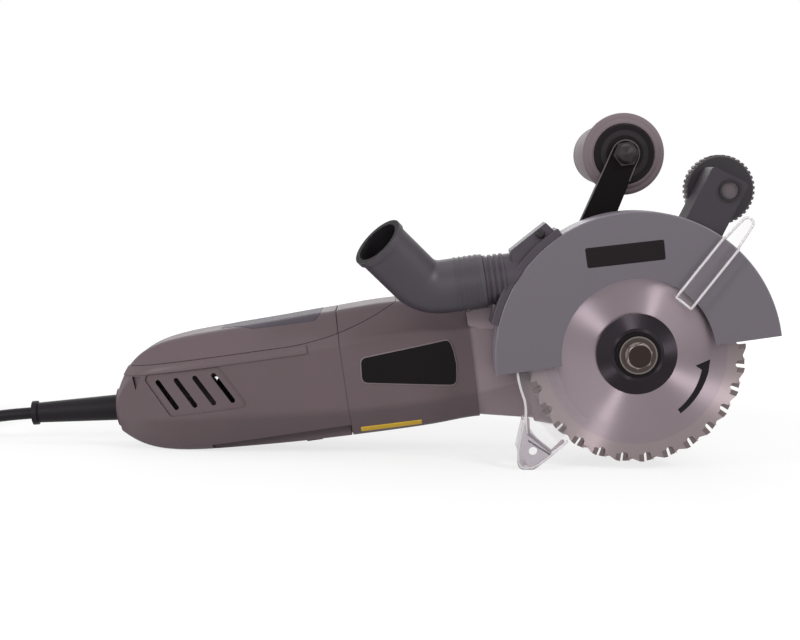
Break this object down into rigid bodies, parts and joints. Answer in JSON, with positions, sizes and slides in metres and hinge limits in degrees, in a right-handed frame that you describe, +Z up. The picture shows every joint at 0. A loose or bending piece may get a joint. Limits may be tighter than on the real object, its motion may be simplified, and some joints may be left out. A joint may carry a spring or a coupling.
{
  "type": "dual blade saw",
  "caption": "Hand-held saw with counter-rotating toothed blades, half-moon guard, swinging clear guard, swivelling dust elbow, side handle, stick feeder and mains lead.",
  "frame": {"origin": "on the surface that the saw stands on, under the middle of its outline without the cord", "axes": "+X towards the blades' front, +Y away from the blade side, +Z up; the motor axis rises to the front"},
  "size_m": [0.6468, 0.1845, 0.2033],
  "materials": {
    "housing": "fine grain moulded, warm grey",
    "casting": "cast and painted warm grey",
    "guard_paint": "smooth cool grey paint",
    "dark_moulding": "charcoal",
    "clear": "clear moulded plastic",
    "black_metal": "black",
    "grip": "soft grey",
    "steel": "turned",
    "plate": "ground, circular grain",
    "carbide": "dull grey",
    "iron": "laminated",
    "copper": "copper",
    "bronze": "sintered",
    "carbon": "carbon",
    "inner_moulding": "black",
    "stick": "waxy",
    "cord": "black",
    "pin_metal": "plated"
  },
  "bodies": {
    "saw_body": {"handle_lower_shell": "housing", "handle_top_cover": "housing", "motor_housing": "housing", "brush_carrier": "inner_moulding", "gear_case": "casting", "gear_case_cover": "casting", "housing_screws": "steel", "upper_guard": "guard_paint", "guard_screws": "black_metal", "guard_retaining_ring": "steel", "dust_hood": "dark_moulding", "hood_screw": "black_metal", "handle_arm": "black_metal", "arm_bolts": "steel", "handle_core": "inner_moulding", "handle_grip": "grip", "handle_bolt": "steel", "handle_nut": "black_metal", "lube_block": "dark_moulding", "sleeve_bearing": "steel", "spindle_bearing": "steel", "armature_front_bearing": "steel", "armature_rear_bearing": "steel", "stator_core": "iron", "field_coils": "copper", "brush_holders": "copper", "carbon_brushes": "carbon", "switch_body": "inner_moulding", "paddle_pin": "steel", "paddle_spring": "steel", "cord_boot": "cord", "mains_cord": "cord", "cord_coil": "cord", "coil_tie": "cord", "plug_body": "cord", "plug_pins": "pin_metal"},
    "front_drive": {"inner_spindle": "steel", "far_bevel_gear": "steel", "front_blade": "plate", "front_blade_tips": "carbide", "outer_flange": "black_metal", "blade_washer": "black_metal", "blade_bolt": "black_metal"},
    "rear_drive": {"outer_sleeve": "steel", "sleeve_bush": "bronze", "near_bevel_gear": "steel", "rear_blade": "plate", "rear_blade_tips": "carbide", "rear_blade_screws": "steel"},
    "rotor": {"armature_shaft": "steel", "bevel_pinion": "steel", "armature_core": "iron", "commutator": "copper", "fan": "inner_moulding"},
    "swing_guard": {"clear_guard": "clear"},
    "elbow": {"dust_elbow": "dark_moulding"},
    "wheel": {"feed_wheel": "dark_moulding"},
    "stick": {"lube_stick": "stick"},
    "paddle": {"paddle_switch": "housing"},
    "slider": {"lock_off_slider": "dark_moulding"}
  },
  "joints": [
    {"name": "front_blade_spin", "type": "hinge", "parent": "saw_body", "child": "front_drive", "pos_m": [0.13678, -0.04723, 0.06676], "axis": [0, -1, 0], "continuous": true},
    {"name": "rear_blade_spin", "type": "hinge", "parent": "saw_body", "child": "rear_drive", "pos_m": [0.13678, -0.04723, 0.06676], "axis": [0, -1, 0], "continuous": true},
    {"name": "rotor_spin", "type": "hinge", "parent": "saw_body", "child": "rotor", "pos_m": [0.00849, -0.00323, 0.04576], "axis": [0.9869, 0, 0.1616], "continuous": true},
    {"name": "guard_swing", "type": "hinge", "parent": "saw_body", "child": "swing_guard", "pos_m": [0.13678, -0.04723, 0.06676], "axis": [0, -1, 0], "range_deg": [0, 105]},
    {"name": "elbow_swivel", "type": "hinge", "parent": "saw_body", "child": "elbow", "pos_m": [0.01966, -0.04723, 0.10129], "axis": [0.9869, 0, 0.1616], "range_deg": [-70, 75]},
    {"name": "feed_turn", "type": "hinge", "parent": "saw_body", "child": "wheel", "pos_m": [0.18447, -0.04723, 0.16037], "axis": [0, -1, 0], "range_deg": [0, 96.5]},
    {"name": "stick_feed", "type": "slide", "parent": "saw_body", "child": "stick", "axis": [-0.4258, 0, -0.9048], "range_m": [0, 0.008]},
    {"name": "paddle_press", "type": "hinge", "parent": "saw_body", "child": "paddle", "pos_m": [-0.10152, -0.00323, 0.00899], "axis": [0, -1, 0], "range_deg": [0, 3.2], "stiffness_Nm_per_rad": 0.4, "springref_deg": -5.73},
    {"name": "lock_off_slide", "type": "slide", "parent": "paddle", "child": "slider", "axis": [0.9869, 0, 0.1616], "range_m": [0, 0.005], "stiffness_N_per_m": 80, "springref_m": -0.004}
  ],
  "couplings": [
    {"joint": "rear_blade_spin", "follows": "front_blade_spin", "ratio": -1},
    {"joint": "rotor_spin", "follows": "front_blade_spin", "ratio": -3},
    {"joint": "stick_feed", "follows": "feed_turn", "m_per_rad": 0.00475}
  ]
}
